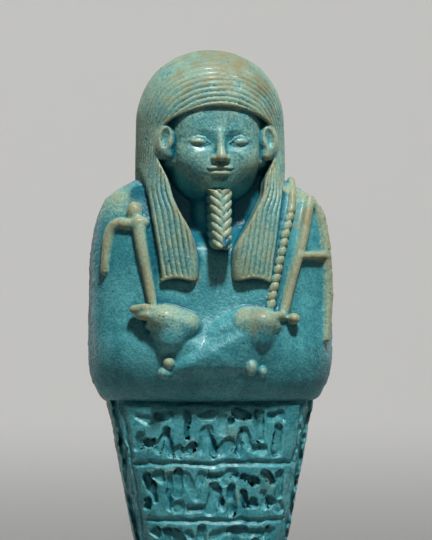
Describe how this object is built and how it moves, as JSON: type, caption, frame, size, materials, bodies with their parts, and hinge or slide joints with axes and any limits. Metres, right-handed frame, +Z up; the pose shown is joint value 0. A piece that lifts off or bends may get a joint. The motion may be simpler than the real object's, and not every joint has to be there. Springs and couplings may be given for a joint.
{
  "type": "ushabti figurine",
  "caption": "Standing mummy-shaped funerary figurine in turquoise glazed faience, with a long striped wig, plaited beard, crossed fists holding farming tools, back pillar and low base.",
  "frame": {"origin": "centre of the underside of the base, on the surface it stands on", "axes": "+Z up along the figure, -Y the way the face looks, +Y towards the back pillar, +X to the figure's left"},
  "size_m": [0.052, 0.036, 0.1857],
  "materials": {
    "glaze": "turquoise faience glaze, fairly glossy, deeper blue-green where it pooled in the recesses, rubbed pale grey-green and stained tan on the raised parts, with fine dark pinholes"
  },
  "bodies": {
    "root": {"ushabti": "glaze"}
  },
  "joints": []
}
